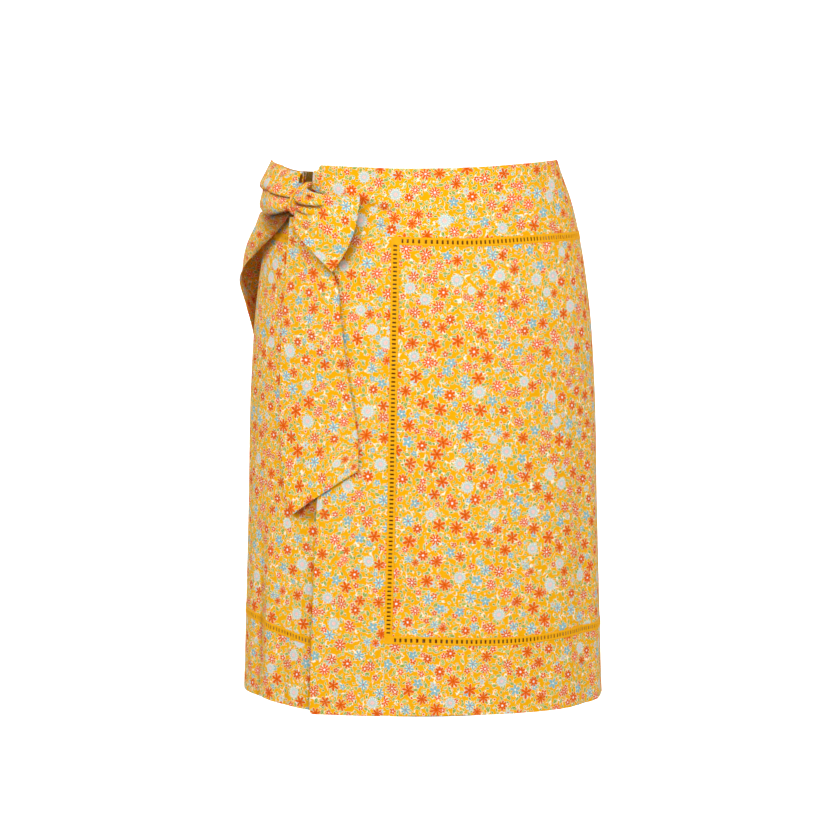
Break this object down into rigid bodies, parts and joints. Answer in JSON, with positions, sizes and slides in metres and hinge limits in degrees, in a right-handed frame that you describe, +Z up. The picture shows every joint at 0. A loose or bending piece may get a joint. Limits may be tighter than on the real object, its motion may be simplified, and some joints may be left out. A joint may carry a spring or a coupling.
{
  "type": "wrap skirt",
  "caption": "Knee-length wrap skirt in its filled-out, hollow worn form, with a shaped yoke, ladder trim let into its seams and a side bow.",
  "frame": {"origin": "centre of the waist opening, at waist level", "axes": "+Z up, the front faces -Y, and the bow sits on the -X hip"},
  "size_m": [0.3626, 0.2604, 0.5385],
  "materials": {
    "printed_cotton": "plain-weave cotton with a dense small floral print on golden yellow",
    "ladder_trim": "golden-yellow cotton ladder lace"
  },
  "bodies": {
    "root": {"yoke_overlap": "printed_cotton", "yoke_back": "printed_cotton", "yoke_underlap": "printed_cotton", "front_panel": "printed_cotton", "front_band": "printed_cotton", "hem_band_front": "printed_cotton", "back_panel": "printed_cotton", "hem_band_back": "printed_cotton", "underlap_panel": "printed_cotton", "hem_band_underlap": "printed_cotton", "trim_yoke_front": "ladder_trim", "trim_yoke_back": "ladder_trim", "trim_yoke_underlap": "ladder_trim", "trim_front_vertical": "ladder_trim", "trim_hem_front": "ladder_trim", "trim_hem_back": "ladder_trim", "trim_hem_underlap": "ladder_trim", "tie_overlap": "printed_cotton", "tie_side": "printed_cotton", "bow_knot": "printed_cotton", "bow_loop_right": "printed_cotton", "bow_loop_left": "printed_cotton", "tail_front": "printed_cotton", "tail_side": "printed_cotton"}
  },
  "joints": []
}
